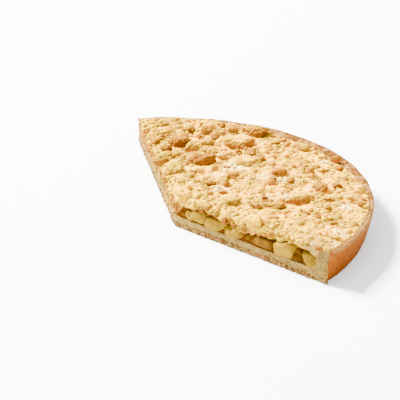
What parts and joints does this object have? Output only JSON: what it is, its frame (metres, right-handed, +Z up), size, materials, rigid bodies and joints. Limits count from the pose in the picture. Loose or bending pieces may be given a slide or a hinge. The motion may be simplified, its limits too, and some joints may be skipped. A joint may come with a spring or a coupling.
{
  "type": "apple crumble pie",
  "caption": "Large cut piece of a round apple crumble pie: shortcrust base and rim, glazed apple filling that shows at both cuts, and a lumpy butter crumble top.",
  "frame": {"origin": "centre of the underside's bounding rectangle, on the surface that the piece stands on", "axes": "+Z up; -Y towards the point where the two cuts meet and +Y towards the middle of the baked rim; +X across, towards the right cut's corner with the rim"},
  "size_m": [0.2611, 0.1345, 0.028],
  "materials": {
    "pastry": "dry baked shortcrust, browned outside and pale where it is cut",
    "apple": "moist cooked apple in clear amber glaze",
    "crumble": "dry sandy butter crumble, toasted on the lumps and dusted with sugar"
  },
  "bodies": {
    "root": {"pastry_case": "pastry", "apple_filling": "apple", "crumble_topping": "crumble"}
  },
  "joints": []
}
